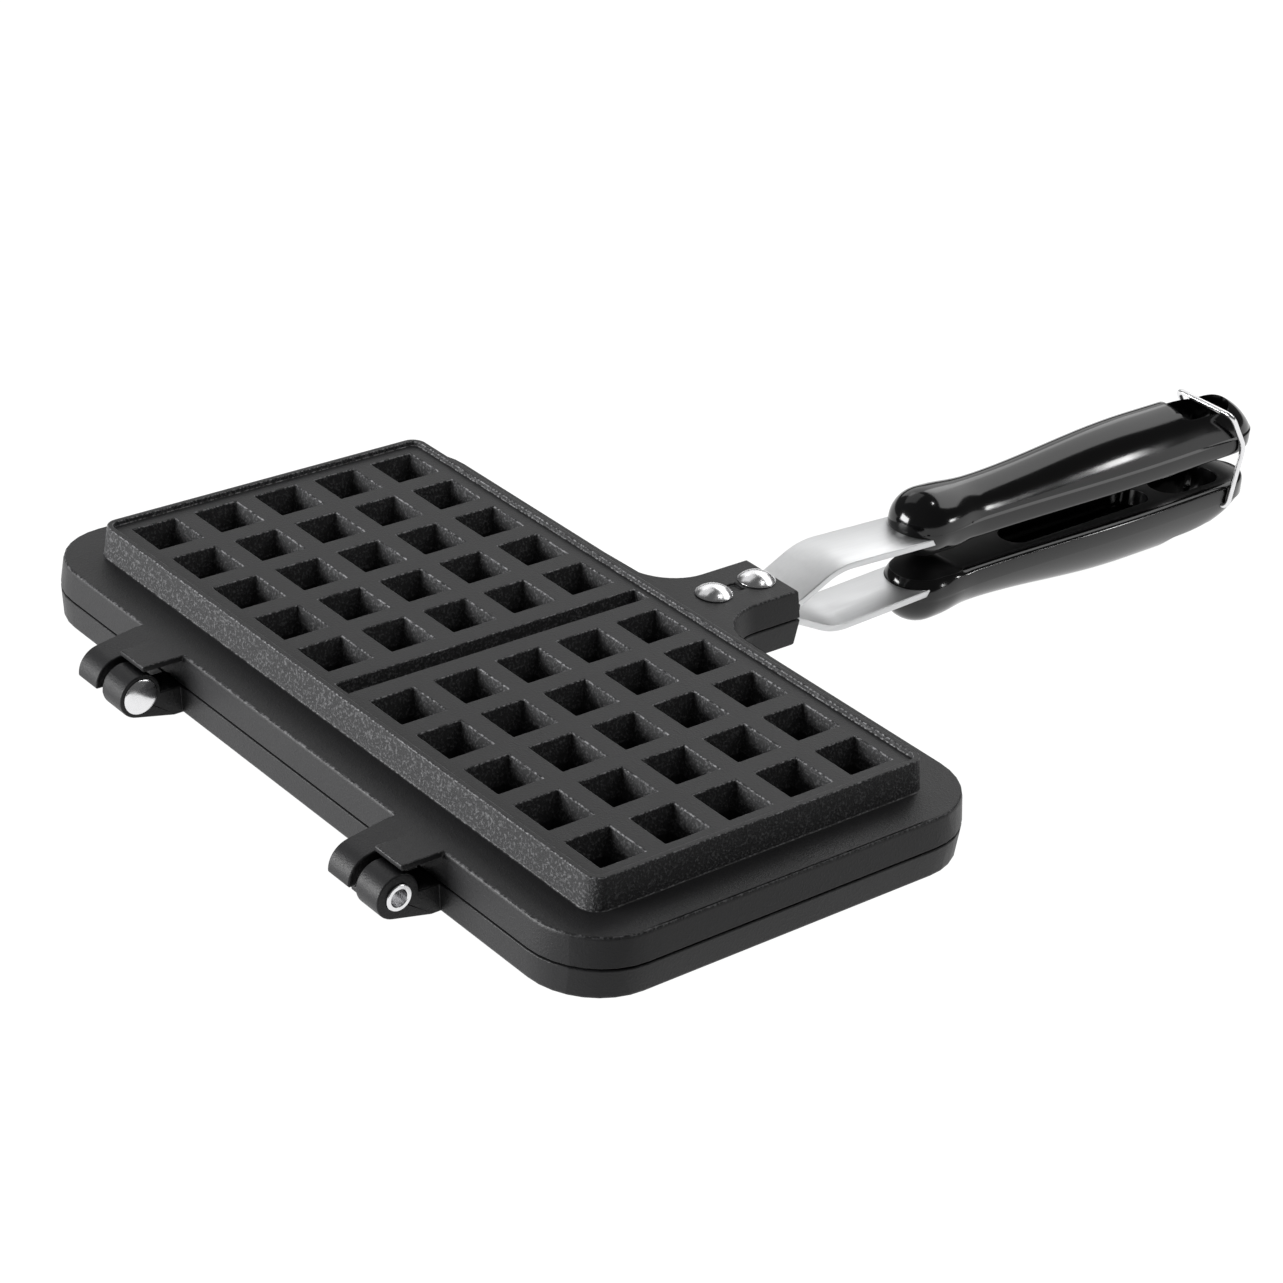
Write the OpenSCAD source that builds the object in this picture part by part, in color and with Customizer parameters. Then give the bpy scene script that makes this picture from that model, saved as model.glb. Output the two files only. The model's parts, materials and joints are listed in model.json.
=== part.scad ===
// Hand-held hinged waffle pan: two cast plates, two riveted straps, two grips and a wire bail.
// +X runs along the hinge line, +Y from the hinges to the grips, +Z up.
// The origin is the middle of the lower plate's underside, in the plane of its lip.

/* [Waffle pattern] */
// Spacing of the pits, both ways
pitch = 18.5; // [14:0.5:24]
// Pits in one waffle, along X
cells_x = 5; // [3:1:6]
// Pits in one waffle, along Y
cells_y = 5; // [3:1:6]
// Width of a pit at its mouth
pit_mouth = 12.8; // [10:0.1:13]
// Width of a pit at its floor
pit_floor = 8.5; // [6:0.1:9.5]
// Depth of a pit below the outer face
pit_depth = 10; // [7:0.5:10.5]
// Extra spacing between the two waffles
divider_gap = 11.25; // [9:0.25:16]
// Width of the slot between the two waffles
slot_w = 5; // [3:0.5:6]
// Thickness of the cast skin under the outer face
skin = 3; // [2.4:0.1:4]
// Thickness of the cast wall round a pit
pit_wall = 2; // [1.6:0.1:2.4]

/* [Plates] */
// Height of the raised block above the rim
block_h = 7; // [5:0.5:9]
// Flat margin from the outermost pits to the ends of the block
end_margin = 5.4; // [5:0.1:8]
// Flat margin from the outermost pits to the long sides of the block
side_margin = 6.1; // [5:0.1:8]
// Corner radius of the block
block_r = 4; // [2:0.5:6]
// Corner radius of the lower block, whose near corner stays hidden below the rim
lower_block_r = 9.5; // [3:0.5:10]
// Width of the lip round the outer face
lip_w = 1.7; // [1.2:0.1:2.5]
// Height of the lip
lip_h = 1.25; // [0.8:0.05:2]
// Width of the rim round the block
rim_w = 12.5; // [10:0.5:16]
// Height of one rim, from the parting plane
rim_h = 8; // [7.5:0.25:10]
// Corner radius of the rim
rim_r = 19; // [12:0.5:22]
// How far the cast sides lean in over their height
draft = 0.7; // [0.3:0.1:1.2]
// Gap between the closed rims
parting_gap = 0.4; // [0.2:0.05:0.8]

/* [Hinges] */
// Distance between the middles of the two hinges
hinge_span = 106; // [70:1:130]
// Width of a hinge ear along the pin
ear_w = 18.5; // [14:0.5:24]
// Distance from the rim's edge out to the pin
pin_out = 11.3; // [9.5:0.1:14]
// Outer radius of a knuckle
knuckle_r = 6.2; // [5:0.1:6.6]
// Outer radius of a barrel, the lower plate's own knuckle
barrel_r = 5.7; // [4.8:0.1:6.4]
// Diameter of a hinge pin
pin_d = 6; // [4:0.1:7]
// Radial running clearance of the upper knuckles on the pins
pin_clear = 0.06; // [0.02:0.01:0.1]
// Gap between an upper and a lower knuckle along the pin
knuckle_gap = 1.8; // [0.3:0.1:2.4]
// Gap between a knuckle and the shelf over it
shelf_gap = 0.35; // [0.3:0.05:0.6]
// How far the hook reaches down past the pin's axis
hook_drop = 1; // [0.4:0.1:2]
// Diameter of the domed head on a hinge pin
pin_head_d = 9.3; // [7.5:0.1:11]
// Height of the domed head on a hinge pin
pin_head_h = 1.6; // [1:0.1:2.5]
// Bore of the tubular end of a hinge pin
pin_bore_d = 4.4; // [2:0.1:4.6]

/* [Necks] */
// Width of a neck at the parting plane
neck_w = 22.2; // [20.6:0.2:28]
// Length of a neck from the rim's edge
neck_len = 29; // [26:0.1:36]
// Radius of the fillets between neck and rim
neck_fillet = 14; // [6:0.5:18]
// Thickness of the casting over the strap
neck_skin = 4.7; // [3.5:0.1:4.9]
// Diameter of a rivet's shank
rivet_d = 5; // [3:0.1:6]
// Diameter of a rivet's domed head
rivet_head_d = 10; // [7:0.1:11]
// Height of a rivet's domed head
rivet_head_h = 2.4; // [1.5:0.1:3]
// Diameter of a rivet's flat inner head
rivet_tail_d = 8; // [6.5:0.1:9]
// Distance between the two rivets of a neck
rivet_pitch = 14.4; // [12:0.1:15]
// Distance from the neck's end to the nearer rivet
rivet_inset = 6.3; // [5.6:0.1:7.5]

/* [Straps] */
// Width of a strap
strap_w = 17; // [13:0.1:17.4]
// Thickness of a strap
strap_t = 2; // [1.5:0.1:2.2]
// Length of strap showing between neck and grip, along Y
strap_reach = 43; // [30:0.1:60]
// Distance from the neck's end to the outer bend
bend_run = 15.3; // [12:0.1:22]
// Height of the strap's middle over the parting plane at the outer bend
bend_rise = 9.1; // [7.5:0.1:9.6]
// Slope of the strap back towards the parting plane, in degrees
strap_slope = 2.5; // [1.5:0.1:3]
// Width of the tang inside the grip
tang_w = 11; // [8:0.1:12]
// Length of the strap inside the grip
tang_len = 38; // [30:1:42]

/* [Grips] */
// Length of a grip
grip_len = 135.2; // [128:0.1:170]
// Greatest width of a grip
grip_w = 20; // [18:0.1:22]
// Width of a grip at its waist
waist_w = 17.2; // [16:0.1:18.5]
// Height of a grip from its inner face to its crown
grip_h = 18.4; // [16:0.1:20]
// Height of the flat band along a grip's side
band_h = 5.6; // [4:0.1:7]
// Distance from the parting plane to a grip's inner face
grip_gap = 4.2; // [3:0.1:4.6]
// Radius of the bulb at the front of a grip
bulb_r = 9.5; // [9:0.1:9.6]
// Length of the hanging hole
hole_len = 24; // [16:0.5:26]
// Width of the hanging hole
hole_w = 12; // [8:0.5:12.5]
// Distance from the hanging hole to the end of the grip
hole_inset = 10.2; // [9.5:0.1:20]
// Width of the hollow in a grip's inner face
hollow_w = 10; // [6:0.5:11]
// Depth of the hollow in a grip's inner face
hollow_depth = 5; // [2:0.5:6]

/* [Grip screws] */
// Diameter of a grip screw's thread
screw_d = 3.2; // [2.5:0.1:4]
// Length of a grip screw under its head
screw_len = 9; // [7:0.5:10]
// Diameter of a grip screw's head
screw_head_d = 6.2; // [5:0.1:7]
// Height of a grip screw's head
screw_head_h = 1.4; // [1:0.1:1.6]
// Distance from the front of the grip to its screw
screw_at = 20; // [16:0.5:26]

/* [Bail] */
// Diameter of the wire
wire_d = 1.6; // [1.4:0.1:2.4]
// Distance between the bail's two legs
bail_w = 21; // [20.8:0.1:26]
// Inner radius of the wire's bends
bail_bend = 1.6; // [1:0.1:2.5]
// Distance of the bail's pivot from the end of the grip
pivot_inset = 13.2; // [12:0.1:20]
// Depth of the bail's pivot below the parting plane
pivot_depth = 11; // [9.5:0.1:13]
// Height of the crossbar over the parting plane
crossbar_z = 18.5; // [18:0.1:21]
// How far the crossbar lies in front of the pivot
crossbar_lead = 4; // [2:0.1:5]
// How far the kink in the legs stands behind the pivot
kink_back = 3; // [1:0.1:4]
// Height of the kink over the parting plane
kink_z = 7.5; // [4:0.1:9]
// Length of the wire's ends inside the grip
wire_end = 4.6; // [3:0.1:5]
// Radial running clearance of the wire in its holes
wire_clear = 0.06; // [0.02:0.01:0.1]
// Room left round the wire in the shallow mouth of its hole
mouth_room = 1; // [0.8:0.05:1.5]
// Room left round the crossbar on the grip
bail_room = 0.35; // [0.3:0.05:0.6]

/* [Hidden] */
$fn = 48;
over = 1;

cast_black = "#232427";
grip_black = "#101012";
strap_grey = "#c9cbcc";
bright_steel = "#dcdde0";

// Places in a half's own frame: its parting plane is z = 0 and its outer face looks up
face_z = rim_h + block_h;
lip_z = face_z + lip_h;
floor_z = face_z - skin;
pit_floor_z = face_z - pit_depth;
stud_tip_z = pit_floor_z - skin * 0.8;
half_gap = parting_gap / 2;
last_x = (cells_x - 0.5) * pitch + divider_gap / 2;
last_y = (cells_y - 1) / 2 * pitch;
block_x = last_x + pit_mouth / 2 + end_margin;
block_y = last_y + pit_mouth / 2 + side_margin;
rim_x = block_x + rim_w;
rim_y = block_y + rim_w;
cavity_x = cells_x * pitch;
cavity_y = cells_y * pitch;
cavity_mid = cavity_x / 2 + divider_gap / 2;
slot_l = 2 * last_y + pit_mouth + 4;
slot_depth = pit_depth;
pin_y = -(rim_y + pin_out);
shelf_z = knuckle_r + shelf_gap;
neck_end = rim_y + neck_len;
rivet_rear_y = neck_end - rivet_inset;
rivet_front_y = rivet_rear_y - rivet_pitch;
strap_top = rim_h - neck_skin;
strap_mid = strap_top - strap_t / 2;
strap_low = strap_top - strap_t;
tail_z = half_gap + 0.15;
strap_start = rim_y + 0.5;
grip_y = neck_end + strap_reach;
grip_end = grip_y + grip_len;
bend_y = neck_end + bend_run;
tang_y = grip_y + 8;
tang_end = grip_y + tang_len;
tang_end_z = bend_rise - (tang_end - bend_y) * tan(strap_slope);
screw_y = grip_y + screw_at;
screw_mid = bend_rise - (screw_y - bend_y) * tan(strap_slope);
hole_y = grip_end - hole_inset - hole_len / 2;
hollow_start = tang_end + 5;
hollow_end = hole_y - hole_len / 2 - 4;
bulb_z = grip_gap + band_h;
pivot_y = grip_end - pivot_inset;
crossbar_y = pivot_y - crossbar_lead;
wire_r = wire_d / 2;
swing_r = norm([crossbar_lead, crossbar_z + pivot_depth]) - wire_r - bail_room;
parting_z = lip_z;

// Stands a half the right way up in the pan
module upper_half() {
    translate([0, 0, parting_z]) children();
}

// Turns a half over, about the line from the hinges to the grips
module lower_half() {
    translate([0, 0, parting_z]) rotate([0, 180, 0]) children();
}

// Draws an outline of [y, z] points and carries it along X
module along_x(from, to) {
    translate([from, 0, 0]) rotate([90, 0, 90]) linear_extrude(to - from) children();
}

// A cylinder along X
module rod_x(from, to, radius) {
    translate([from, 0, 0]) rotate([0, 90, 0]) cylinder(r = radius, h = to - from);
}

// A pyramid cut flat: size low at z = from, size high at z = to
module frustum(low, high, from, to) {
    corners = [[-1, -1], [1, -1], [1, 1], [-1, 1]];
    points = concat(
        [for (c = corners) [c[0] * low[0] / 2, c[1] * low[1] / 2, from]],
        [for (c = corners) [c[0] * high[0] / 2, c[1] * high[1] / 2, to]]);
    polyhedron(points, [[0, 1, 2, 3], [7, 6, 5, 4], [0, 4, 5, 1],
        [1, 5, 6, 2], [2, 6, 7, 3], [3, 7, 4, 0]]);
}

// Heights up the side of a rim, and how far it has leant in there: the top edge is eased
function rim_levels() = [[half_gap, 0], [rim_h - 0.6, draft], [rim_h, draft + 0.35]];

// A slab with round corners, at the levels given as [z, inset]
module drafted_slab(half_x, half_y, radius, levels) {
    hull() for (level = levels, sx = [-1, 1], sy = [-1, 1])
        translate([sx * (half_x - radius), sy * (half_y - radius), min(level[0], levels[2][0] - 0.01)])
            cylinder(r = radius - level[1], h = 0.01, $fn = 32);
}

module rounded_outline(half_x, half_y, radius) {
    square([2 * half_x, 2 * (half_y - radius)], center = true);
    square([2 * (half_x - radius), 2 * half_y], center = true);
    for (sx = [-1, 1], sy = [-1, 1])
        translate([sx * (half_x - radius), sy * (half_y - radius)]) circle(radius);
}

// Places one copy at each pit
module at_pits() {
    for (side = [-1, 1], i = [0 : cells_x - 1], j = [0 : cells_y - 1])
        translate([side * (divider_gap / 2 + (i + 0.5) * pitch), (j - (cells_y - 1) / 2) * pitch, 0])
            children();
}

// A shallow round cap standing on z = 0
module dome(radius, height) {
    ball = (radius * radius + height * height) / (2 * height);
    intersection() {
        translate([0, 0, height - ball]) sphere(ball);
        cylinder(r = radius, h = height);
    }
}

// The two waffle hollows with their studs standing in them
module cavities() {
    lean = 2 * draft;
    stud_root = pit_mouth - (pit_mouth - pit_floor) * skin / pit_depth + 2 * pit_wall;
    stud_tip = pit_floor + 2 * pit_wall;
    difference() {
        for (side = [-1, 1]) translate([side * cavity_mid, 0, 0])
            frustum([cavity_x + lean, cavity_y + lean], [cavity_x, cavity_y], -over, floor_z);
        at_pits() frustum([stud_tip, stud_tip], [stud_root, stud_root], stud_tip_z, floor_z + over);
    }
}

// The pits and the divider slot in the outer face
module face_pits() {
    slope = (pit_mouth - pit_floor) / pit_depth;
    top = pit_mouth + slope * over;
    at_pits() frustum([pit_floor, pit_floor], [top, top], pit_floor_z, face_z + over);
    frustum([slot_w - slope * 4, slot_l - slope * 4], [slot_w + slope, slot_l + slope],
        face_z - slot_depth, face_z + over);
}

// Where the sloping top of a knuckle meets its round, from a point out on the rim
function tangent_angle(q, radius) = atan2(q[1], q[0]) + acos(radius / norm(q));

// Outline of the block that carries a knuckle, as [y, z] points
function knuckle_block(outer_r) =
    let (shoulder = [pin_out - 1.6, rim_h])
    let (angle = tangent_angle(shoulder, outer_r))
    [[-rim_y + 2, half_gap], [-rim_y + 2, rim_h], [pin_y + shoulder[0], rim_h],
     [pin_y + outer_r * cos(angle), outer_r * sin(angle)], [pin_y, half_gap]];

// A hinge ear: a knuckle on its -X side and a thin shelf on its +X side.
// A hook is open below the pin, and a barrel goes all the way round it.
module ear(hook, bore_r) {
    half = ear_w / 2;
    outer_r = hook ? knuckle_r : barrel_r;
    difference() {
        along_x(-half, -knuckle_gap / 2) difference() {
            union() {
                polygon(knuckle_block(outer_r));
                translate([pin_y, 0]) circle(outer_r);
            }
            if (hook) {
                translate([pin_y - 2 * knuckle_r, -3 * knuckle_r - hook_drop])
                    square([2 * knuckle_r, 3 * knuckle_r]);
                translate([pin_y - over / 10, -3 * knuckle_r + half_gap])
                    square([2 * knuckle_r, 3 * knuckle_r]);
            }
        }
        translate([0, pin_y, 0]) rod_x(-half - over, half, bore_r);
    }
    along_x(-knuckle_gap / 2, half)
        translate([pin_y + 0.5, shelf_z]) square([pin_out + 1.5, rim_h - shelf_z]);
}

// Outline of a neck with its fillets into the rim, drawn in by inset. The fillets start just
// inside the rim's side, so that they cross it instead of touching it.
function neck_outline(inset) =
    let (w = neck_w / 2 - inset, edge = rim_y - inset - 0.25, mid = w + neck_fillet)
    let (left = concat([[-mid, edge - 4]],
        [for (a = [0 : 7.5 : 90]) [neck_fillet * sin(a) - mid, edge + neck_fillet * (1 - cos(a))]],
        [[-w, neck_end - inset]]))
    concat(left, [for (i = [len(left) - 1 : -1 : 0]) [-left[i][0], left[i][1]]]);

// The neck that carries a strap, with its pocket and rivet holes still solid. Its outline is hollow
// at the fillets, so the faces that close it go across, from its left side to its right.
module neck_body() {
    skin_through([for (level = rim_levels()) [for (p = neck_outline(level[1])) [p[0], p[1], level[0]]]],
        across = true);
    for (side = [-1, 1])
        translate([side * (strap_w / 2 + 0.75) - 0.5, neck_end - 1, strap_low])
            cube([1, 2, strap_t]);
}

// What is cut from a neck: the strap's pocket, the rivet holes and a square mark
module neck_cuts() {
    translate([-strap_w / 2, strap_start, -over])
        cube([strap_w, neck_len + 10, strap_top + over]);
    for (y = [rivet_front_y, rivet_rear_y]) translate([0, y, 0])
        cylinder(r = rivet_d / 2, h = rim_h + over);
    translate([-2, (rivet_front_y + rivet_rear_y) / 2 - 1.5, rim_h - 0.8]) cube([4, 3, 2]);
}

// One cast plate. Both come from the same pattern, but for their knuckles.
module casting(hook, bore_r, corner_r) {
    difference() {
        union() {
            drafted_slab(rim_x, rim_y, rim_r, rim_levels());
            drafted_slab(block_x + draft, block_y + draft, corner_r + draft,
                [[rim_h - 0.5, 0], [face_z, draft], [lip_z, draft + 0.1]]);
            neck_body();
            for (side = [-1, 1]) translate([side * hinge_span / 2, 0, 0]) ear(hook, bore_r);
        }
        translate([0, 0, face_z]) linear_extrude(lip_h + over)
            rounded_outline(block_x - lip_w, block_y - lip_w, corner_r - lip_w);
        face_pits();
        cavities();
        neck_cuts();
    }
}

module lower_plate() {
    color(cast_black) lower_half() casting(false, pin_d / 2, lower_block_r);
}

module upper_plate() {
    color(cast_black) upper_half() casting(true, pin_d / 2 + pin_clear, block_r);
}

// A hinge pin: a domed head at +X and a tubular end, spread a little, at -X
module hinge_pin() {
    half = ear_w / 2;
    flare = 0.5;
    color(bright_steel) translate([0, pin_y, parting_z]) difference() {
        union() {
            rod_x(-half - knuckle_gap - 0.6, half, pin_d / 2);
            translate([half, 0, 0]) rotate([0, 90, 0]) dome(pin_head_d / 2, pin_head_h);
            rod_x(-half - knuckle_gap - 0.6, -half - knuckle_gap, pin_d / 2 + flare);
        }
        rod_x(-half - knuckle_gap - 1, -half + 4, pin_bore_d / 2);
    }
}

module hinge_pin_left() {
    translate([-hinge_span / 2, 0, 0]) hinge_pin();
}

// The right pin is driven in from the other side, so its tubular end shows
module hinge_pin_right() {
    half = ear_w / 2;
    flare = 0.5;
    color(bright_steel) translate([hinge_span / 2, pin_y, parting_z]) difference() {
        union() {
            rod_x(-half - knuckle_gap, half + 0.6, pin_d / 2);
            translate([-half - knuckle_gap, 0, 0]) rotate([0, -90, 0])
                dome(pin_head_d / 2, pin_head_h);
            rod_x(half, half + 0.6, pin_d / 2 + flare);
        }
        rod_x(half - 4, half + 1, pin_bore_d / 2);
    }
}

// A strap's middle line as [y, z] points: flat in the neck, up to the bend, then back
function strap_corners() = [[strap_start, strap_mid], [neck_end + 1.6, strap_mid],
    [bend_y, bend_rise], [tang_end, tang_end_z]];

// Rounds the corner b between a and c with a short curve that starts back from it
function eased(a, b, c, back) =
    let (p = b + (a - b) / norm(a - b) * back, q = b + (c - b) / norm(c - b) * back)
    [for (t = [0 : 0.25 : 1]) (1 - t) * (1 - t) * p + 2 * t * (1 - t) * b + t * t * q];

function strap_route() =
    let (p = strap_corners())
    concat([p[0]], eased(p[0], p[1], p[2], 1.6), eased(p[1], p[2], p[3], 5), [p[3]]);

// Unit vector square to a route at its point i
function square_to(route, i) =
    let (a = route[max(i - 1, 0)], b = route[min(i + 1, len(route) - 1)])
    [a[1] - b[1], b[0] - a[0]] / norm(b - a);

// A band of the given half thickness along a route
function band(route, half) = concat(
    [for (i = [0 : len(route) - 1]) route[i] + half * square_to(route, i)],
    [for (i = [len(route) - 1 : -1 : 0]) route[i] - half * square_to(route, i)]);

// Stands square to the sloping strap at the grip's screw, at the given height over its middle
module at_screw(height) {
    translate([0, screw_y, screw_mid]) rotate([-strap_slope, 0, 0]) translate([0, 0, height])
        children();
}

module strap() {
    color(strap_grey) difference() {
        along_x(-strap_w / 2, strap_w / 2) polygon(band(strap_route(), strap_t / 2));
        for (side = [0, 1]) mirror([side, 0, 0])
            translate([tang_w / 2, tang_y, -20]) cube([strap_w, tang_len, 60]);
        for (y = [rivet_front_y, rivet_rear_y]) translate([0, y, -over])
            cylinder(r = rivet_d / 2, h = rim_h);
        at_screw(-strap_t) cylinder(r = screw_d / 2, h = 2 * strap_t);
    }
}

module lower_strap() {
    lower_half() strap();
}

module upper_strap() {
    upper_half() strap();
}

// A rivet: a flat head inside, the shank through strap and neck, a domed head outside
module rivet(y) {
    color(bright_steel) translate([0, y, 0]) {
        translate([0, 0, tail_z]) cylinder(r = rivet_tail_d / 2, h = strap_low - tail_z);
        translate([0, 0, tail_z]) cylinder(r = rivet_d / 2, h = rim_h - tail_z);
        translate([0, 0, rim_h]) dome(rivet_head_d / 2, rivet_head_h);
    }
}

module lower_rivet_front() {
    lower_half() rivet(rivet_front_y);
}

module lower_rivet_rear() {
    lower_half() rivet(rivet_rear_y);
}

module upper_rivet_front() {
    upper_half() rivet(rivet_front_y);
}

module upper_rivet_rear() {
    upper_half() rivet(rivet_rear_y);
}

// An even blend from a to b while s goes from s0 to s1
function blend(a, b, s, s0, s1) =
    let (t = min(1, max(0, (s - s0) / (s1 - s0))))
    a + (b - a) * (1 - cos(180 * t)) / 2;

// How much of a round is left at distance u from its middle, for a round of radius r
function round_left(u, r) = u <= 0 ? 1 : sqrt(max(0, 1 - u * u / (r * r)));

// Places along a grip, from its front
waist_s = 25;
belly_s = grip_len - 48;
tail_s = grip_len - 26;
nose_s = grip_len - 12.5;
tip_z = grip_gap + 1;
crown_z = grip_gap + grip_h;
waist_z = bulb_z + 8.8;

// Half width, lowest z and crown of a grip at distance s from its front
function grip_half(s) = s < bulb_r ? bulb_r * round_left(bulb_r - s, bulb_r)
    : s < waist_s ? blend(bulb_r, waist_w / 2, s, bulb_r, waist_s)
    : blend(waist_w / 2, grip_w / 2, s, waist_s, belly_s)
        * (1 - 0.05 * blend(0, 1, s, belly_s, nose_s)) * round_left(s - nose_s, grip_len - nose_s);

function grip_low(s) = s < bulb_r ? bulb_z - bulb_r * round_left(bulb_r - s, bulb_r)
    : s < nose_s ? blend(bulb_z - bulb_r, grip_gap, s, bulb_r + 2, waist_s - 4)
    : tip_z - (tip_z - grip_gap) * round_left(s - nose_s, grip_len - nose_s);

function grip_crown(s) = s < bulb_r ? bulb_z + bulb_r * round_left(bulb_r - s, bulb_r)
    : s < waist_s ? blend(bulb_z + bulb_r, waist_z, s, bulb_r, waist_s)
    : s < tail_s ? blend(waist_z, crown_z, s, waist_s, belly_s)
    : tip_z + (crown_z - tip_z) * round_left(s - tail_s, grip_len - tail_s);

// How square the underside is: 2 is round and 7 is nearly a box
function grip_square(s) = blend(2, 7, s, bulb_r + 2, waist_s);

// One ring of points round a grip at distance s from its front
ring_points = 32;
function grip_ring(s) =
    let (w = max(grip_half(s), 0.05), low = grip_low(s), crown = grip_crown(s))
    let (mid = min(max(bulb_z, low + 0.02), crown - 0.02), e = 2 / grip_square(s))
    [for (k = [0 : ring_points - 1])
        let (a = 360 * (k + 0.5) / ring_points, c = cos(a), d = sin(a))
        d > 0 ? [w * c, grip_y + s, mid + (crown - mid) * d]
        : [w * sign(c) * pow(abs(c), e), grip_y + s, mid - (mid - low) * pow(-d, e)]];

// Stations of the rings: closer where a grip is rounder
function grip_stations() = concat(
    [for (a = [4 : 12 : 88]) bulb_r * (1 - cos(a))],
    [for (s = [bulb_r : 3 : waist_s]) s],
    [for (t = [0.05 : 0.05 : 1]) waist_s + (tail_s - waist_s) * t],
    [for (a = [8 : 8 : 80]) tail_s + (grip_len - tail_s) * sin(a)], [grip_len - 0.05]);

// A closed skin through rings of points. The ends are one face each, or rows of faces across.
module skin_through(rings, across = false) {
    count = len(rings);
    n = len(rings[0]);
    sides = [for (i = [0 : count - 2], k = [0 : n - 1])
        let (a = i * n + k, b = i * n + (k + 1) % n)
        each [[a, b, a + n], [b, b + n, a + n]]];
    last = (count - 1) * n;
    front = across ? [for (k = [0 : n / 2 - 2]) [n - 1 - k, n - 2 - k, k + 1, k]]
        : [[for (k = [n - 1 : -1 : 0]) k]];
    back = across ? [for (k = [0 : n / 2 - 2]) [last + k, last + k + 1, last + n - 2 - k, last + n - 1 - k]]
        : [[for (k = [0 : n - 1]) last + k]];
    polyhedron([for (ring = rings) each ring], concat(front, sides, back));
}

module grip_solid() {
    skin_through([for (s = grip_stations()) grip_ring(s)]);
}

// A grip with its strap slot, screw hole, hollow and hanging hole
module grip() {
    slot_half = strap_t / 2 + 0.04;
    difference() {
        grip_solid();
        along_x(-strap_w / 2 - 0.1, strap_w / 2 + 0.1) intersection() {
            polygon(band(strap_route(), slot_half));
            translate([grip_y - 5, -20]) square([tang_y - grip_y + 5.2, 60]);
        }
        along_x(-tang_w / 2 - 0.1, tang_w / 2 + 0.1) intersection() {
            polygon(band(strap_route(), slot_half));
            translate([grip_y - 5, -20]) square([tang_len + 10, 60]);
        }
        at_screw(-strap_t / 2 - 20) cylinder(r = screw_head_d / 2 + 0.3, h = 20);
        at_screw(-strap_t) cylinder(r = screw_d / 2, h = screw_len + strap_t / 2);
        hollow();
        hanging_hole();
    }
}

module hollow() {
    for (y = [hollow_start + hollow_w / 2, hollow_end - hollow_w / 2])
        translate([0, y, 0]) cylinder(r = hollow_w / 2, h = grip_gap + hollow_depth);
    translate([-hollow_w / 2, hollow_start + hollow_w / 2, 0])
        cube([hollow_w, hollow_end - hollow_start - hollow_w, grip_gap + hollow_depth]);
}

module hanging_hole() {
    for (side = [-1, 1]) translate([0, hole_y + side * (hole_len - hole_w) / 2, -over])
        cylinder(r = hole_w / 2, h = 40);
    translate([-hole_w / 2, hole_y - (hole_len - hole_w) / 2, -over])
        cube([hole_w, hole_len - hole_w, 40]);
}

// The lower grip is drilled across for the ends of the bail
module lower_grip() {
    color(grip_black) lower_half() difference() {
        grip();
        translate([0, pivot_y, pivot_depth]) rod_x(-20, 20, wire_r + wire_clear);
        for (side = [0, 1]) mirror([side, 0, 0]) translate([0, pivot_y, pivot_depth])
            rod_x(bail_w / 2 - bail_bend - wire_d, 20, wire_r + mouth_room);
    }
}

// The upper grip is relieved behind the crossbar, so that the bail can swing off it
module upper_grip() {
    color(grip_black) upper_half() difference() {
        grip();
        difference() {
            translate([-20, crossbar_y - wire_r - bail_room, 0]) cube([40, 60, 50]);
            translate([0, pivot_y, -pivot_depth]) rod_x(-21, 21, swing_r);
        }
    }
}

// A pan-headed screw that holds a grip on its tang
module grip_screw() {
    color(bright_steel) at_screw(-strap_t / 2 - screw_head_h) difference() {
        union() {
            cylinder(r = screw_head_d / 2, h = screw_head_h);
            cylinder(r = screw_d / 2, h = screw_head_h + screw_len - 0.5);
        }
        for (turn = [0, 90]) rotate(turn)
            translate([-screw_head_d * 0.32, -0.35, -0.1]) cube([screw_head_d * 0.64, 0.7, 0.8]);
    }
}

module lower_grip_screw() {
    lower_half() grip_screw();
}

module upper_grip_screw() {
    upper_half() grip_screw();
}

// Corners of the bail's wire on the +X side: the end in the grip, leg, kink and crossbar
function bail_corners() =
    let (leg = bail_w / 2)
    [[leg - wire_end, pivot_y, -pivot_depth], [leg, pivot_y, -pivot_depth],
     [leg, pivot_y + kink_back, kink_z], [leg, crossbar_y, crossbar_z], [0, crossbar_y, crossbar_z]];

function bail_route() =
    let (p = bail_corners(), back = bail_bend + wire_r)
    concat(eased(p[0], p[1], p[2], back), eased(p[1], p[2], p[3], back),
        eased(p[2], p[3], p[4], back));

function mirrored(route) =
    [for (i = [len(route) - 1 : -1 : 0]) [-route[i][0], route[i][1], route[i][2]]];

// Directions along a route, and a direction square to each that is carried on without twist
wire_sides = 12;
function heading(route, i) =
    let (a = route[max(i - 1, 0)], b = route[min(i + 1, len(route) - 1)]) (b - a) / norm(b - a);
function carried(u, along) = let (w = u - (u * along) * along) w / norm(w);
function sideways(route) = [for (i = 0, u = [0, 0, 1]; i < len(route);
    u = carried(u, heading(route, i + 1)), i = i + 1) carried(u, heading(route, i))];

module swept_wire(route) {
    across = sideways(route);
    skin_through([for (i = [0 : len(route) - 1])
        let (u = across[i], v = cross(u, heading(route, i)))
        [for (k = [0 : wire_sides - 1]) let (t = 360 * k / wire_sides)
            route[i] + wire_r * (cos(t) * u + sin(t) * v)]]);
}

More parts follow.
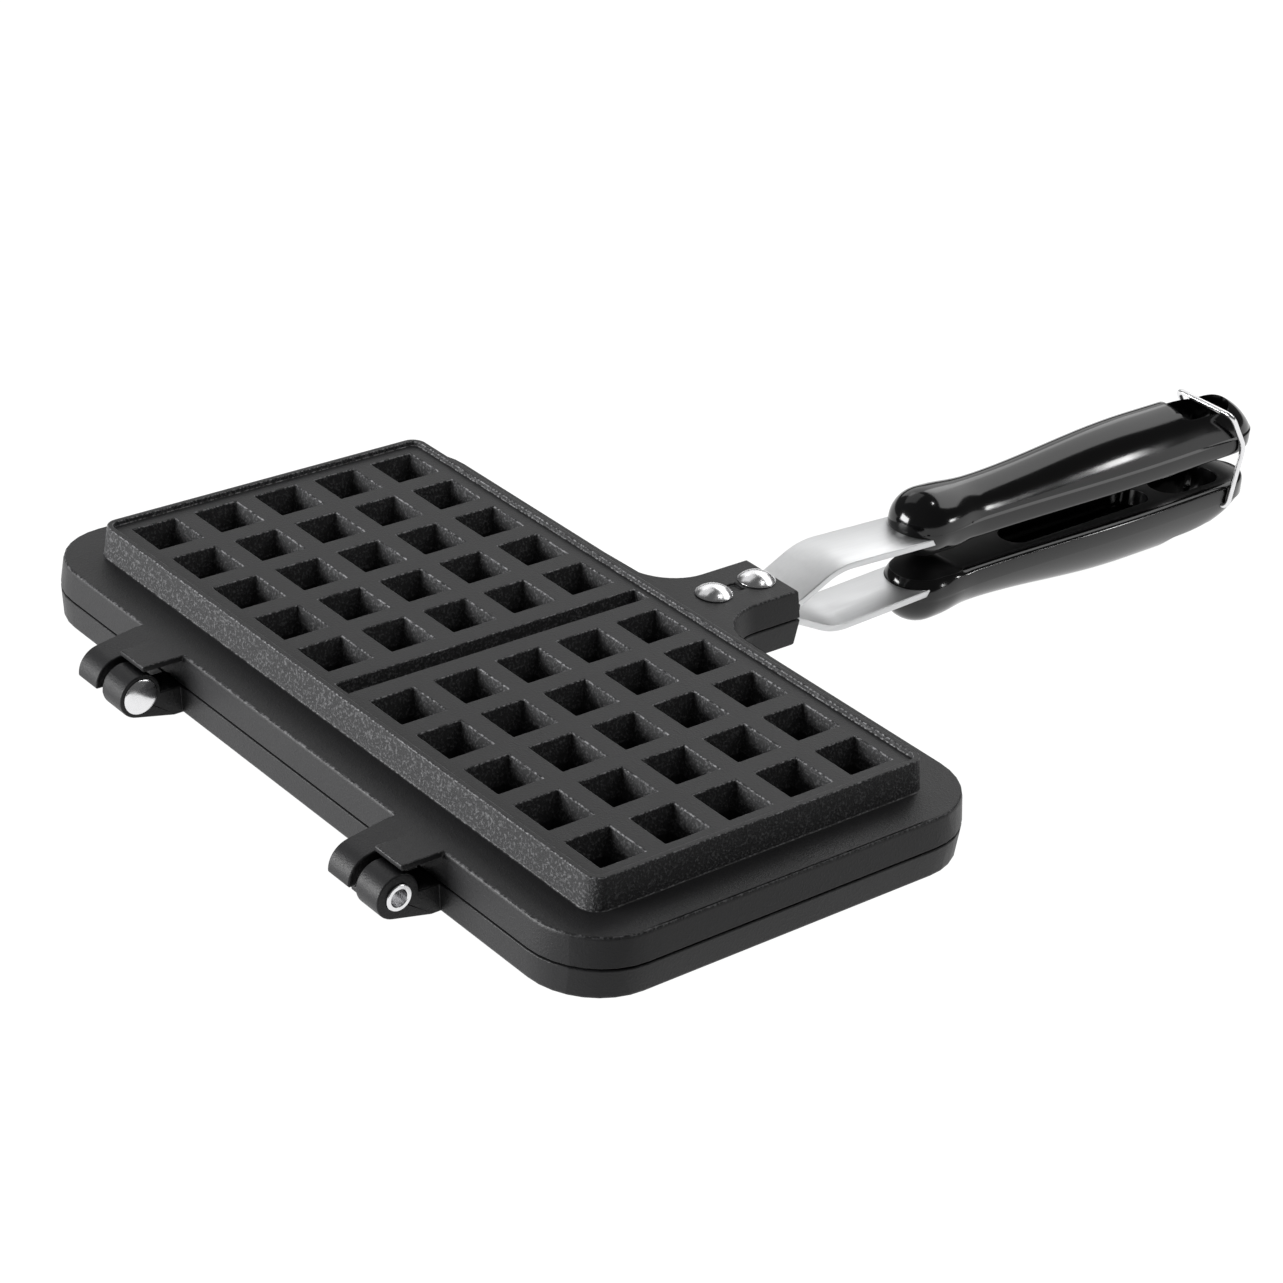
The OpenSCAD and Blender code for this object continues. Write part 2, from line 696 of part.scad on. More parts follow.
// The bail: one wire, with its two ends turned into the lower grip
module latch_bail() {
    route = concat(bail_route(), mirrored(bail_route()));
    color(bright_steel) translate([0, 0, parting_z]) {
        swept_wire(route);
        for (side = [0, 1]) mirror([side, 0, 0]) translate([0, pivot_y, -pivot_depth])
            rod_x(bail_w / 2 - wire_end, bail_w / 2 - bail_bend - wire_r + 0.4, wire_r);
    }
}

lower_plate();
upper_plate();
hinge_pin_left();
hinge_pin_right();
lower_strap();
upper_strap();
lower_rivet_front();
lower_rivet_rear();
upper_rivet_front();
upper_rivet_rear();
lower_grip();
upper_grip();
lower_grip_screw();
upper_grip_screw();
latch_bail();
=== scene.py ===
import bpy, json, math
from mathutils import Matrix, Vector

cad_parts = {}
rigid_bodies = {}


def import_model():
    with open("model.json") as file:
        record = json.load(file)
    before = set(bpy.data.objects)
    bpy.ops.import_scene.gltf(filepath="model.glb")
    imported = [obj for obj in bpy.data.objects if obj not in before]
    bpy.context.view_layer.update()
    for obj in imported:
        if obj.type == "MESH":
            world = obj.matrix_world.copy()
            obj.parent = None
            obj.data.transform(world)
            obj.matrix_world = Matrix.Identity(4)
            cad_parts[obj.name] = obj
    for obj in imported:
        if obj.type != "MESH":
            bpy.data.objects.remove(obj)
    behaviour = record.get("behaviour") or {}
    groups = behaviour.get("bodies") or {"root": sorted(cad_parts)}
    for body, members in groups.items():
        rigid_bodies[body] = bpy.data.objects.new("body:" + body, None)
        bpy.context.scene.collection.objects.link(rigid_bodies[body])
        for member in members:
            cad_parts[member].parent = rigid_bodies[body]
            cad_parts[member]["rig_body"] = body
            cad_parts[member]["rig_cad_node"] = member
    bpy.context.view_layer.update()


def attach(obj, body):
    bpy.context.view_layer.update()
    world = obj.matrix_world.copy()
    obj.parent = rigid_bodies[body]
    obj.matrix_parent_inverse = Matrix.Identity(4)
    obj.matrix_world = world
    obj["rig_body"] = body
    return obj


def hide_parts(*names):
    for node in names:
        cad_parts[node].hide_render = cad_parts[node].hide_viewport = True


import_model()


# ---- View of the pan
# The camera stands where the photograph was taken from, to the right of the hinges and above the
# pan, with the pan's own slight lean in the frame.
camera_data = bpy.data.cameras.new("view")
camera_data.lens = 100.11
camera_data.sensor_width = 36
camera_data.clip_start = 0.05
camera_data.clip_end = 20
camera = bpy.data.objects.new("view", camera_data)
camera.location = (0.59497, -0.47620, 0.44513)
camera.rotation_euler = [math.radians(a) for a in (61.5432, -3.9822, 50.8258)]
bpy.context.scene.collection.objects.link(camera)
bpy.context.scene.camera = camera
bpy.context.scene.view_settings.view_transform = "Standard"


# ---- Studio
# A white table in a dim white room. Four soft boxes stand behind the hinges' left, on the left,
# over the grips' far side and low in front of the hinges. Two small lamps on the right and
# overhead give the short bright streaks on the grips.
def nodes_of(material):
    material.use_nodes = True
    tree = material.node_tree
    return tree.nodes, tree.links, tree.nodes["Principled BSDF"]


def deselect():
    if bpy.context.object and bpy.context.object.mode != "OBJECT":
        bpy.ops.object.mode_set(mode="OBJECT")
    bpy.ops.object.select_all(action="DESELECT")


deselect()
bpy.ops.mesh.primitive_plane_add(size=6, location=(0, 0, -0.0066))
table = bpy.context.object
table.name = "white_table"
bpy.ops.object.transform_apply(location=True)
white = bpy.data.materials.new("white_paper")
nodes, links, paper = nodes_of(white)
paper.inputs["Base Color"].default_value = (0.08, 0.08, 0.08, 1)
paper.inputs["Roughness"].default_value = 1
paper.inputs["Specular IOR Level"].default_value = 0
# It glows only where it is looked at or mirrored, so that it doesn't light the pan from below.
path = nodes.new("ShaderNodeLightPath")
seen = path.outputs["Is Camera Ray"]
for ray in ("Is Glossy Ray", "Is Transmission Ray"):
    either = nodes.new("ShaderNodeMath")
    either.operation = "MAXIMUM"
    links.new(seen, either.inputs[0])
    links.new(path.outputs[ray], either.inputs[1])
    seen = either.outputs[0]
paper.inputs["Emission Color"].default_value = (1, 1, 1, 1)
links.new(seen, paper.inputs["Emission Strength"])
table.data.materials.append(white)

world = bpy.data.worlds.new("studio")
bpy.context.scene.world = world
world.use_nodes = True
world.node_tree.nodes["Background"].inputs["Color"].default_value = (1, 1, 1, 1)
# The room lights the pan dimly, but is seen as white as the table.
sky = world.node_tree
brightness = sky.nodes.new("ShaderNodeMapRange")
brightness.inputs["To Min"].default_value = 0.10
brightness.inputs["To Max"].default_value = 1
sky.links.new(sky.nodes.new("ShaderNodeLightPath").outputs["Is Camera Ray"], brightness.inputs["Value"])
sky.links.new(brightness.outputs["Result"], sky.nodes["Background"].inputs["Strength"])


def softbox(name, place, target, width, height, watts):
    lamp = bpy.data.lights.new(name, "AREA")
    lamp.shape = "RECTANGLE"
    lamp.size, lamp.size_y, lamp.energy = width, height, watts
    box = bpy.data.objects.new(name, lamp)
    box.location = place
    box.rotation_euler = (Vector(target) - Vector(place)).to_track_quat("-Z", "Y").to_euler()
    bpy.context.scene.collection.objects.link(box)


softbox("softbox_back_left", (-0.88, 0.71, 0.64), (0, 0, 0.02), 1.2, 0.8, 3.2)
softbox("softbox_left", (-0.72, 0.04, 0.98), (0, 0.1, 0.02), 0.8, 0.8, 1.4)
softbox("softbox_over_far_side", (-0.03, 0.95, 0.83), (0, 0.2, 0.03), 1.4, 0.55, 5.3)
softbox("softbox_front_left", (-0.45, -1.05, 0.18), (0, 0, 0.02), 0.7, 0.5, 24)
softbox("lamp_low_right", (0.743, 0.859, 0.09), (0, 0.19, 0.03), 0.06, 0.10, 0.5)
softbox("lamp_overhead", (0.30, 0.42, 1.10), (0, 0.15, 0.03), 0.10, 0.10, 1.0)


# ---- Cast plates
# Two aluminium castings from one pattern, hinged back to back: rim, raised block of square pits,
# studded hollow inside, neck and knuckles. Every edge is rounded by the casting and the
# non-stick coating.
parting = 0.01625  # height at which the two plates meet
pitch = 0.0185  # from pit to pit
centre_bar = 0.01125  # between the two patterns
hinge_y = -0.0733
rivets_y = (0.0703, 0.0847)


def pick(piece):
    deselect()
    piece.select_set(True)
    bpy.context.view_layer.objects.active = piece


def round_edges(piece, radius, segments, over_degrees, clamp=True):
    rounding = piece.modifiers.new("rounding", "BEVEL")
    rounding.width, rounding.segments = radius, segments
    rounding.limit_method, rounding.angle_limit = "ANGLE", math.radians(over_degrees)
    rounding.use_clamp_overlap = clamp
    bpy.ops.object.modifier_apply(modifier="rounding")


def cast_edges(piece, radius, turn):
    bpy.context.view_layer.objects.active = piece
    bpy.ops.object.mode_set(mode="EDIT")
    bpy.ops.mesh.select_all(action="SELECT")
    bpy.ops.mesh.remove_doubles(threshold=0.00002)
    # Planes through the pits' middles, the ears' sides and steps, and the ends of rim and neck
    # part the large flat faces, so that each is simple enough for the rounding.
    planes_x = [side * (centre_bar / 2 + (i + 0.5) * pitch) for side in (-1, 1) for i in range(5)]
    planes_x += [turn * x for x in (0.04375, 0.0521, 0.06225, -0.06225, -0.0539, -0.04375)]
    planes_x += [turn * 0.112, turn * -0.112, 0]
    planes_y = [(j - 2) * pitch for j in range(5)] + [*rivets_y, hinge_y, -0.0585, 0.0585]
    planes = [((x, 0, 0), (1, 0, 0)) for x in planes_x] + [((0, y, 0), (0, 1, 0)) for y in planes_y]
    for point, normal in planes:
        bpy.ops.mesh.select_all(action="SELECT")
        bpy.ops.mesh.bisect(plane_co=point, plane_no=normal)
        bpy.ops.mesh.mark_seam()
    bpy.ops.mesh.select_all(action="SELECT")
    bpy.ops.mesh.remove_doubles(threshold=0.00002)
    bpy.ops.mesh.dissolve_limited(angle_limit=math.radians(0.6), delimit={"SEAM"})
    bpy.ops.mesh.mark_seam(clear=True)
    bpy.ops.object.mode_set(mode="OBJECT")
    round_edges(piece, radius, 3, 25, clamp=False)
    bpy.ops.object.shade_smooth_by_angle(angle=math.radians(50))
    flats = piece.modifiers.new("flats", "WEIGHTED_NORMAL")
    flats.keep_sharp, flats.weight = True, 80
    bpy.ops.object.modifier_apply(modifier="flats")


def copy_of_node(node, name):
    pick(bpy.data.objects[node])
    bpy.ops.object.duplicate()
    piece = bpy.context.object
    piece.name = name
    piece.parent = None
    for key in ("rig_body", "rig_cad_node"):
        if key in piece:
            del piece[key]
    return piece


def only_material(piece, material):
    piece.data.materials.clear()
    piece.data.materials.append(material)


def math_node(kind, a, b=None):
    n = nodes.new("ShaderNodeMath")
    n.operation = kind
    for socket, value in ((0, a), (1, b)):
        if value is None:
            continue
        if isinstance(value, (int, float)):
            n.inputs[socket].default_value = value
        else:
            links.new(value, n.inputs[socket])
    return n.outputs[0]


def ramp(value, low, high, to_low=0.0, to_high=1.0):
    n = nodes.new("ShaderNodeMapRange")
    for key, v in (("From Min", low), ("From Max", high), ("To Min", to_low), ("To Max", to_high)):
        n.inputs[key].default_value = v
    links.new(value, n.inputs["Value"])
    return n.outputs["Result"]


def noise(scale, detail, vector):
    n = nodes.new("ShaderNodeTexNoise")
    n.inputs["Scale"].default_value = scale
    n.inputs["Detail"].default_value = detail
    links.new(vector, n.inputs["Vector"])
    return n.outputs["Fac"]


def split(vector):
    n = nodes.new("ShaderNodeSeparateXYZ")
    links.new(vector, n.inputs[0])
    return n.outputs


def mixed(amount, colour):
    n = nodes.new("ShaderNodeMix")
    n.data_type = "RGBA"
    n.inputs[7].default_value = colour
    links.new(amount, n.inputs[0])
    return n


def bump(height, strength, distance, shader):
    n = nodes.new("ShaderNodeBump")
    n.inputs["Strength"].default_value = strength
    n.inputs["Distance"].default_value = distance
    links.new(height, n.inputs["Height"])
    links.new(n.outputs["Normal"], shader.inputs["Normal"])
    return n


# The coating is a dark satin grey. The block is blasted rough and a shade lighter; on its upright walls
# and pits, pale grey specks are painted in as glints, while rim, neck and knuckles are smoother and
# darker.
coating = bpy.data.materials.new("non_stick_coating")
nodes, links, coat = nodes_of(coating)
where = nodes.new("ShaderNodeTexCoord").outputs["Object"]
height = math_node("ABSOLUTE", math_node("SUBTRACT", split(where)["Z"], parting))
slant = math_node("ABSOLUTE", split(nodes.new("ShaderNodeNewGeometry").outputs["Normal"])["Z"])
above_rim = ramp(height, 0.0082, 0.0086)
upright = ramp(slant, 0.45, 0.15)
blasted = math_node("MULTIPLY", above_rim, upright)
specks = ramp(noise(1500, 2, where), 0.50, 0.68)
fine = ramp(noise(4200, 2, where), 0.35, 0.75)
# painted glints: pale grey specks mixed into the base colour of the blasted upright walls, over a
# slightly lighter blasted grey
painted_glint_specks = math_node("ADD", math_node("MULTIPLY", specks, 0.70), 0.14)
coat_grey_and_glints = mixed(math_node("MULTIPLY", blasted, painted_glint_specks), (0.170, 0.171, 0.175, 1))
coat_grey_and_glints.inputs[6].default_value = (0.018, 0.018, 0.019, 1)
# Pale specks are painted on the rounded edges as speckled highlights, stronger above the rim.
highlit_edges = math_node("MULTIPLY", ramp(slant, 0.30, 0.45), ramp(slant, 0.97, 0.88))
highlit_edges = math_node("MULTIPLY", highlit_edges, ramp(height, 0.0070, 0.0073))
highlit_edges = math_node("MULTIPLY", highlit_edges, ramp(height, 0.0081, 0.0086, 0.35, 0.85))
edge_highlight_noise = ramp(noise(1300, 3, where), 0.44, 0.66)
# painted highlights: the pale speck colour mixed into the coating on the rounded edges
coat_with_edge_highlights = mixed(math_node("MULTIPLY", highlit_edges, edge_highlight_noise), (0.34, 0.34, 0.35, 1))
links.new(coat_grey_and_glints.outputs[2], coat_with_edge_highlights.inputs[6])
links.new(coat_with_edge_highlights.outputs[2], coat.inputs["Base Color"])
coat.inputs["IOR"].default_value = 1.35
dullness = math_node("ADD", math_node("MULTIPLY", blasted, 0.5), math_node("MULTIPLY", fine, 0.25))
links.new(ramp(dullness, 0, 1, 0.42, 0.62), coat.inputs["Roughness"])
grain = bump(math_node("ADD", fine, math_node("MULTIPLY", specks, 1.2)), 1, 0.00012, coat)
links.new(ramp(blasted, 0, 1, 0.22, 0.9), grain.inputs["Strength"])

for node, body, turn in (("lower_plate", "base", -1), ("upper_plate", "lid", 1)):
    plate = copy_of_node(node, "cast_" + node)
    cast_edges(plate, 0.00040, turn)
    only_material(plate, coating)
    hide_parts(node)
    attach(plate, body)
    only_material(bpy.data.objects[node], coating)


# ---- Straps
# Two strips of satin steel, 17 by 2 mm, pressed with soft bends: flat on the neck, up to the
# grip's middle line, then straight into the grip.
strap_width, strap_thickness = 0.017, 0.002
satin = bpy.data.materials.new("satin_strip")
nodes, links, steel = nodes_of(satin)
where = nodes.new("ShaderNodeTexCoord").outputs["Object"]
steel.inputs["Metallic"].default_value = 1
steel.inputs["Base Color"].default_value = (0.70, 0.705, 0.71, 1)
rolled = nodes.new("ShaderNodeMapping")
rolled.inputs["Scale"].default_value = (1500, 60, 1500)
links.new(where, rolled.inputs["Vector"])
streaks = noise(1, 3, rolled.outputs["Vector"])
links.new(ramp(streaks, 0.3, 0.7, 0.42, 0.54), steel.inputs["Roughness"])
bump(streaks, 0.12, 0.00005, steel)


def softened(a, b, c, back, steps):
    # the corner b between a and c, as a soft bend that starts and ends `back` from it
    a, b, c = Vector(a), Vector(b), Vector(c)
    p, q = b + (a - b).normalized() * back, b + (c - b).normalized() * back
    return [(1 - t) ** 2 * p + 2 * t * (1 - t) * b + t * t * q
            for t in [i / steps for i in range(steps + 1)]]


# the strip's middle line, with its height over the parting plane
corners = [(0, 0.0625, 0.0023), (0, 0.0926, 0.0023), (0, 0.1063, 0.0091), (0, 0.148, 0.00728)]
route = [Vector(corners[0])] + softened(*corners[0:3], 0.0024, 8)
route += softened(*corners[1:4], 0.0052, 12) + [Vector(corners[3])]


def strip(name, side, material):
    deselect()
    start = route[0]
    bpy.ops.mesh.primitive_plane_add(
        size=strap_width, location=(0, start.y + strap_width / 2, parting + side * start.z))
    piece = bpy.context.object
    piece.name = name
    bpy.ops.object.transform_apply(location=True)
    # Only the edge at the start is kept, and drawn out along the route.
    bpy.ops.object.mode_set(mode="EDIT")
    bpy.ops.mesh.select_mode(type="VERT")
    bpy.ops.mesh.select_all(action="DESELECT")
    bpy.ops.object.mode_set(mode="OBJECT")
    for v in piece.data.vertices:
        v.select = v.co.y > start.y + 0.001
    bpy.ops.object.mode_set(mode="EDIT")
    bpy.ops.mesh.delete(type="VERT")
    bpy.ops.mesh.select_all(action="SELECT")
    for a, b in zip(route, route[1:]):
        step = (0, b.y - a.y, side * (b.z - a.z))
        bpy.ops.mesh.extrude_region_move(TRANSFORM_OT_translate={"value": step})
    bpy.ops.mesh.select_all(action="SELECT")
    bpy.ops.mesh.normals_make_consistent(inside=False)
    bpy.ops.object.mode_set(mode="OBJECT")
    sheet = piece.modifiers.new("sheet", "SOLIDIFY")
    sheet.thickness, sheet.offset, sheet.use_even_offset = strap_thickness, 0, True
    bpy.ops.object.modifier_apply(modifier="sheet")
    round_edges(piece, 0.00035, 3, 60)
    bpy.ops.object.shade_smooth_by_angle(angle=math.radians(40))
    piece.data.materials.append(material)
    return piece


for node, body, side in (("lower_strap", "base", -1), ("upper_strap", "lid", 1)):
    piece = strip("bent_" + node, side, satin)
    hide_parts(node)
    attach(piece, body)


# ---- Grips
# Two glossy black mouldings: a ball at the front where the strap goes in, a waist, a long belly
# with a flat band along each side, and an oval hanging hole. The inner faces are flat and hollowed.
front_y = 134  # this and all lengths down to grip_body are in mm, with s from the grip's front
ball_r, band_z, tail_z = 9.5, 9.8, 5.2
waist_s, belly_s, fall_s, close_s = 25, 87.2, 109.2, 122.7
waist_half, belly_half, waist_crown, belly_crown = 8.6, 10, 18.6, 22.6
fall_r, close_r = 26, 12.5
# these lengths are in m
pivot_y, pivot_z = 0.256, -0.011  # where the wire turns in the lower grip
crossbar_y, crossbar_z = 0.252, 0.0185  # where it lies on the upper grip
wire_r = 0.0008
inner_face_z, inner_face_edge = 0.00425, 0.00455
gloss = bpy.data.materials.new("gloss_moulding")
nodes, links, plastic = nodes_of(gloss)
where = nodes.new("ShaderNodeTexCoord").outputs["Object"]
plastic.inputs["Base Color"].default_value = (0.0035, 0.0035, 0.0038, 1)
flow = noise(90, 2, where)
polish = ramp(flow, 0.3, 0.7, 0.10, 0.15)
height = math_node("ABSOLUTE", math_node("SUBTRACT", split(where)["Z"], parting))
# Only the outside is polished: the flat inner face comes matt from the mould.
matt = ramp(height, inner_face_edge, inner_face_z, 0, 0.5)
links.new(math_node("ADD", polish, matt), plastic.inputs["Roughness"])
shine = ramp(height, inner_face_z, inner_face_edge, 0.12, 0.5)
links.new(shine, plastic.inputs["Specular IOR Level"])
bump(flow, 0.05, 0.0004, plastic)


def between(a, b, s, s0, s1):
    t = min(1, max(0, (s - s0) / (s1 - s0)))
    return a + (b - a) * (1 - math.cos(math.pi * t)) / 2


def round_left(u, r):
    return 1 if u <= 0 else math.sqrt(max(0, 1 - u * u / (r * r)))


def grip_section(s):
    # half width, lowest height and crown, over the parting plane
    if s < ball_r:
        half = ball_r * round_left(ball_r - s, ball_r)
        return max(half, 0.05), band_z - half, band_z + half
    if s < waist_s:
        half = between(ball_r, waist_half, s, ball_r, waist_s)
        crown = between(band_z + ball_r, waist_crown, s, ball_r, waist_s)
    else:
        half = between(waist_half, belly_half, s, waist_s, belly_s)
        half *= (1 - 0.05 * between(0, 1, s, belly_s, close_s)) * round_left(s - close_s, close_r)
        crown = between(waist_crown, belly_crown, s, waist_s, belly_s)
        if s >= fall_s:
            crown = tail_z + (belly_crown - tail_z) * round_left(s - fall_s, fall_r)
    low = between(0.3, 4.2, s, 11.5, 21)
    if s >= close_s:
        low = tail_z - round_left(s - close_s, close_r)
    return max(half, 0.05), low, crown


def grip_ring(s, side):
    half, low, crown = grip_section(s)
    band = min(max(band_z, low + 0.02), crown - 0.05)
    square = between(2, 7, s, 11.5, 25)  # how flat the side band is: 2 is round
    step = 0.75 * between(0.03, 1, s, 14, 26) * round_left(s - 115, 20.2) + 0.02
    step = min(step, half * 0.3, (crown - band) * 0.3)
    points = []
    for i in range(33):
        a = math.pi + math.pi * i / 32
        c, d = math.cos(a), -math.sin(a)
        x = half * math.copysign(abs(c) ** (2 / square), c)
        points.append((x, band - (band - low) * max(d, 0) ** (2 / square)))
    # The upper part stands back from the band by a small step, and leans in behind the ball.
    base, lean = band + step * 0.55, math.radians(between(0, 20, s, 14, 30))
    wide, tall = (half - step) / math.cos(lean), (crown - base) / (1 - math.sin(lean))
    for i in range(37):
        a = lean + (math.pi - 2 * lean) * i / 36
        points.append((wide * math.cos(a), base + tall * (math.sin(a) - math.sin(lean))))
    return [(x / 1000, (front_y + s) / 1000, parting + side * z / 1000) for x, z in points]


def grip_body(name, side):
    # The rings stand closer together where the ends are round.
    stations = [ball_r * (1 - math.cos(math.radians(a))) for a in (3, *range(10, 83, 8))]
    stations += [ball_r + 1.1 * i for i in range(15)] + [26 + 2.95 * i for i in range(28)]
    stations += [fall_s + fall_r * math.sin(math.radians(a)) for a in range(3, 88, 4)] + [135.15]
    rings = [grip_ring(s, side) for s in stations]
    n = len(rings[0])
    faces = [(i * n + k, i * n + (k + 1) % n, (i + 1) * n + (k + 1) % n, (i + 1) * n + k)
             for i in range(len(rings) - 1) for k in range(n)]
    faces += [tuple(range(n)), tuple((len(rings) - 1) * n + k for k in range(n))]
    mesh = bpy.data.meshes.new(name)
    mesh.from_pydata([p for ring in rings for p in ring], [], faces)
    piece = bpy.data.objects.new(name, mesh)
    bpy.context.scene.collection.objects.link(piece)
    pick(piece)
    bpy.ops.object.mode_set(mode="EDIT")
    bpy.ops.mesh.select_all(action="SELECT")
    bpy.ops.mesh.remove_doubles(threshold=0.000001)
    bpy.ops.mesh.normals_make_consistent(inside=False)
    bpy.ops.object.mode_set(mode="OBJECT")
    return piece


def cut(piece, cutter):
    pick(piece)
    knife = piece.modifiers.new("cut", "BOOLEAN")
    knife.operation, knife.object, knife.solver = "DIFFERENCE", cutter, "EXACT"
    bpy.ops.object.modifier_apply(modifier="cut")
    bpy.data.objects.remove(cutter)


def oval_cutter(width, y0, y1, z0, z1):
    # a bar with round ends, standing along Z: a cylinder pulled apart along Y
    deselect()
    middle = y0 + width / 2
    bpy.ops.mesh.primitive_cylinder_add(vertices=48, radius=width / 2, depth=z1 - z0,
                                        location=(0, middle, (z0 + z1) / 2))
    bar = bpy.context.object
    bpy.ops.object.transform_apply(location=True)
    bpy.ops.object.mode_set(mode="EDIT")
    bpy.ops.mesh.select_all(action="SELECT")
    bpy.ops.mesh.bisect(plane_co=(0, middle, 0), plane_no=(0, 1, 0))
    bpy.ops.object.mode_set(mode="OBJECT")
    for v in bar.data.vertices:
        if v.co.y > middle + 1e-7:
            v.co.y += y1 - y0 - width
    return bar


def bar_cutter(y, z, radius, length):
    deselect()
    bpy.ops.mesh.primitive_cylinder_add(vertices=32, radius=radius, depth=length, location=(0, y, z),
                                        rotation=(0, math.pi / 2, 0))
    bar = bpy.context.object
    bpy.ops.object.transform_apply(location=True, rotation=True)
    return bar


def notch_cutter(y, z, size):
    # the open way down to the crossbar's groove
    deselect()
    bpy.ops.mesh.primitive_cube_add(size=size, location=(0, y, z + 2 * size))
    notch = bpy.context.object
    notch.scale = (13, 1, 4)
    bpy.ops.object.transform_apply(location=True, scale=True)
    return notch


for node, body, side in (("lower_grip", "base", -1), ("upper_grip", "lid", 1)):
    grip = grip_body("moulded_" + node, side)
    ends = sorted((parting + side * 0.002, parting + side * 0.026))
    cut(grip, oval_cutter(0.012, 0.235, 0.259, *ends))
    ends = sorted((parting + side * 0.002, parting + side * 0.0092))
    cut(grip, oval_cutter(0.010, 0.1753, 0.231, *ends))
    if side < 0:
        cut(grip, bar_cutter(pivot_y, parting + pivot_z, wire_r + 0.00006, 0.04))
    else:
        groove_r = wire_r + 0.00025
        cut(grip, bar_cutter(crossbar_y, parting + crossbar_z, groove_r, 0.03))
        cut(grip, notch_cutter(crossbar_y, parting + crossbar_z, 2 * groove_r))
    round_edges(grip, 0.0004, 2, 55)
    bpy.ops.object.shade_smooth_by_angle(angle=math.radians(32))
    grip.data.materials.append(gloss)
    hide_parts(node)
    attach(grip, body)


# ---- Rivets, pins and screws
# Bright steel fastenings: domed rivets set through neck and strap, hinge pins pressed into the
# lower knuckles, and pan-head screws under the grips. The rivets and pins are turned, so they are spun
# from their outlines; the screws keep their shape and only get the steel.
bright = bpy.data.materials.new("bright_steel")
nodes, links, metal = nodes_of(bright)
where = nodes.new("ShaderNodeTexCoord").outputs["Object"]
metal.inputs["Base Color"].default_value = (0.82, 0.82, 0.83, 1)
metal.inputs["Metallic"].default_value = 1
links.new(ramp(noise(600, 4, where), 0.3, 0.7, 0.16, 0.30), metal.inputs["Roughness"])


def turned(name, outline, centre, axis, steps=64):
    # outline: (radius, height along the axis) in mm
    mesh = bpy.data.meshes.new(name)
    axis = Vector(axis)
    across = Vector((0, 0, 1)) if abs(axis.z) < 0.5 else Vector((1, 0, 0))
    points = [Vector(centre) + across * r / 1000 + axis * h / 1000 for r, h in outline]
    mesh.from_pydata(points, [(i, i + 1) for i in range(len(points) - 1)], [])
    piece = bpy.data.objects.new(name, mesh)
    bpy.context.scene.collection.objects.link(piece)
    pick(piece)
    bpy.ops.object.mode_set(mode="EDIT")
    bpy.ops.mesh.select_all(action="SELECT")
    bpy.ops.mesh.spin(steps=steps, angle=2 * math.pi, center=centre, axis=axis)
    bpy.ops.mesh.select_all(action="SELECT")
    bpy.ops.mesh.remove_doubles(threshold=0.000002)
    bpy.ops.mesh.normals_make_consistent(inside=False)
    bpy.ops.object.mode_set(mode="OBJECT")
    bpy.ops.object.shade_smooth_by_angle(angle=math.radians(35))
    return piece


def domed(radius, base, height, count=10):
    # the outline of a dome, from its edge to its top
    ball = (radius * radius + height * height) / (2 * height)
    reach = math.asin(radius / ball)
    angles = [reach * (1 - i / count) for i in range(count + 1)]
    return [(ball * math.sin(a), base + height - ball + ball * math.cos(a)) for a in angles]


for side, half, body in ((-1, "lower", "base"), (1, "upper", "lid")):
    for where_on, y in zip(("front", "rear"), rivets_y):
        node = half + "_rivet_" + where_on
        outline = [(0, 0.35), (3.8, 0.35), (4, 0.55), (4, 1.3), (2.5, 1.3),
                   (2.5, 8), (4.85, 8), (5, 8.12), (5, 8.3)] + domed(4.95, 8.38, 2.05)
        rivet = turned("set_" + node, outline, (0, y, parting), (0, 0, side))
        rivet.data.materials.append(bright)
        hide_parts(node)
        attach(rivet, body)

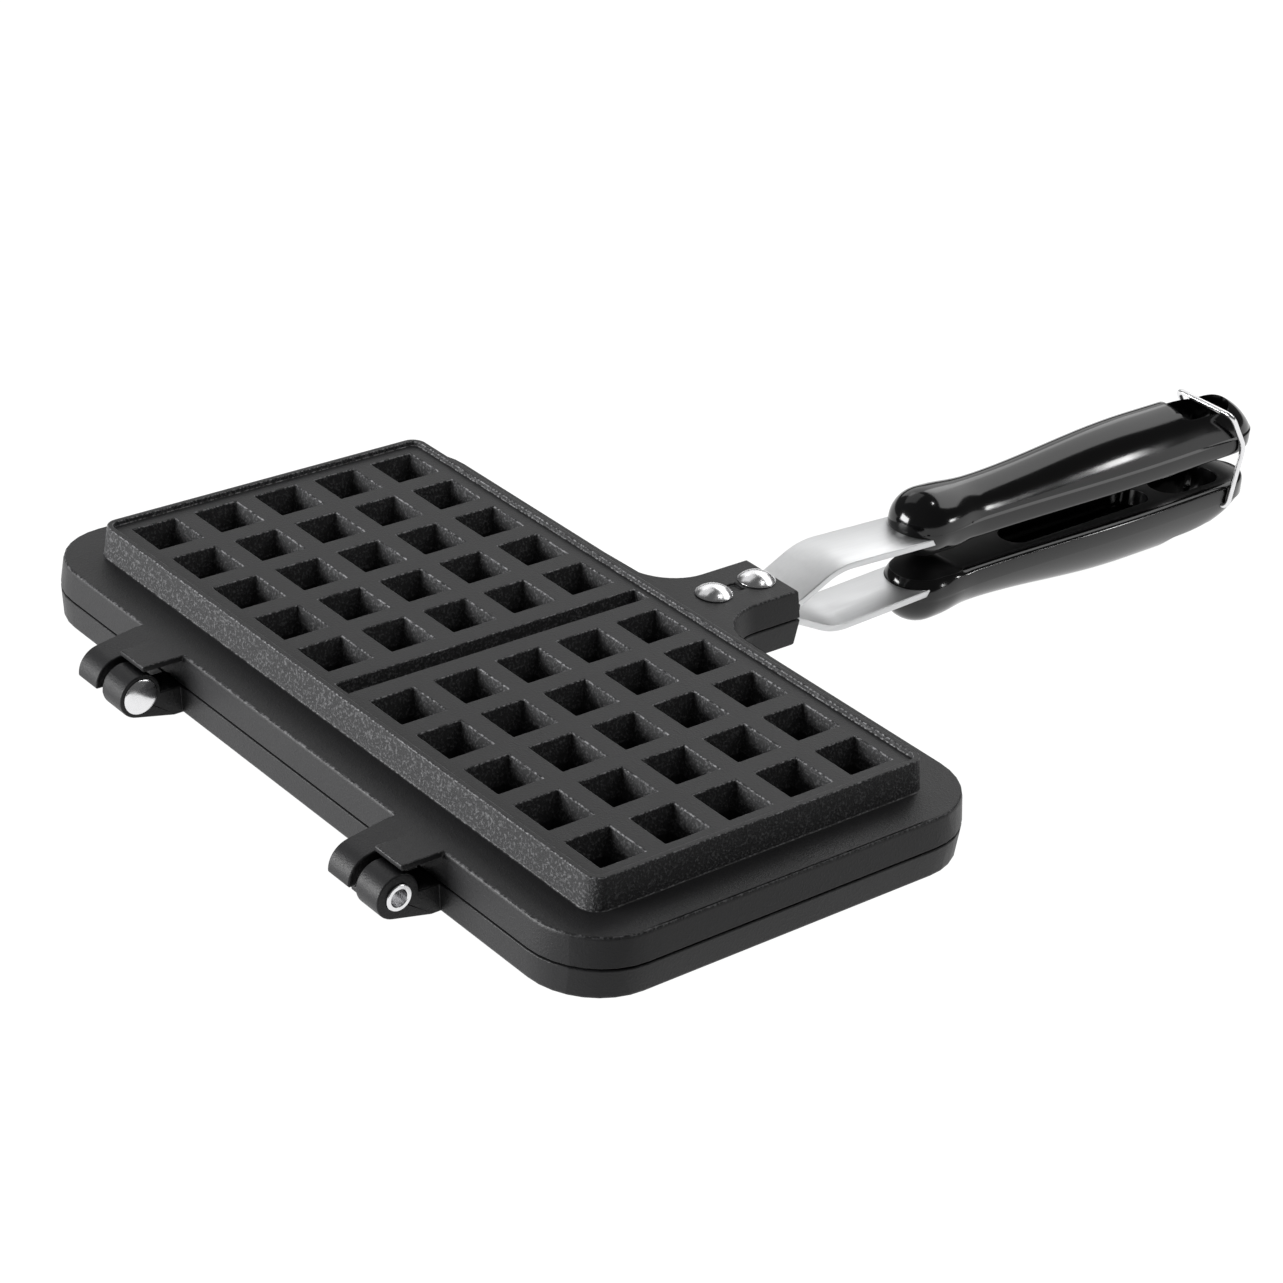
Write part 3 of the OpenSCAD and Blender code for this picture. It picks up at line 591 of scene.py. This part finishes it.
# The left pin shows its dome towards +X, the right one its rolled tubular end.
domed_pin = [(0, -5.25), (2.2, -5.25), (2.2, -10.15), (2.35, -10.25), (3.3, -10.25), (3.5, -10.05),
             (3.5, -9.7), (3, -9.65), (3, 9.25), (4.5, 9.25), (4.65, 9.4)] + domed(4.6, 9.5, 1.35)
rolled_pin = [(0, 5.25), (2.2, 5.25), (2.2, 9.7), (2.35, 9.85), (3.2, 9.85), (3.35, 9.65),
              (3.35, 9.3), (3, 9.25), (3, -9.65), (4.5, -9.65), (4.65, -9.8)]
rolled_pin += [(r, -h) for r, h in domed(4.6, 9.9, 1.35)]
for node, x, outline in (("hinge_pin_left", -0.053, domed_pin), ("hinge_pin_right", 0.053, rolled_pin)):
    pin = turned("pressed_" + node, outline, (x, hinge_y, parting), (1, 0, 0))
    pin.data.materials.append(bright)
    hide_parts(node)
    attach(pin, "base")

for node in ("lower_grip_screw", "upper_grip_screw"):
    only_material(bpy.data.objects[node], bright)


# ---- Bail
# One length of 1.6 mm bright wire, bent round the ends of the closed grips: a crossbar, two legs
# with a kink, and two short ends turned into the lower grip, in which it swings.
deselect()
leg = [(0.0059, pivot_y, pivot_z), (0.0105, pivot_y, pivot_z), (0.0105, 0.259, 0.0075),
       (0.0105, crossbar_y, crossbar_z), (0, crossbar_y, crossbar_z)]
half_wire = [Vector(leg[0])] + [p for i in range(3) for p in softened(*leg[i:i + 3], 0.0024, 8)]
whole = half_wire + [Vector((-p.x, p.y, p.z)) for p in reversed(half_wire)]
wire = bpy.data.curves.new("wire_bail", "CURVE")
wire.dimensions, wire.bevel_depth, wire.bevel_resolution, wire.use_fill_caps = "3D", wire_r, 5, True
spline = wire.splines.new("POLY")
spline.points.add(len(whole) - 1)
for point, p in zip(spline.points, whole):
    point.co = (p.x, p.y, p.z + parting, 1)
bail = bpy.data.objects.new("wire_bail", wire)
bpy.context.scene.collection.objects.link(bail)
bail.select_set(True)
bpy.context.view_layer.objects.active = bail
bpy.ops.object.convert(target="MESH")
bail = bpy.context.object
bpy.ops.object.shade_smooth_by_angle(angle=math.radians(50))
only_material(bail, bright)
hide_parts("latch_bail")
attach(bail, "bail")
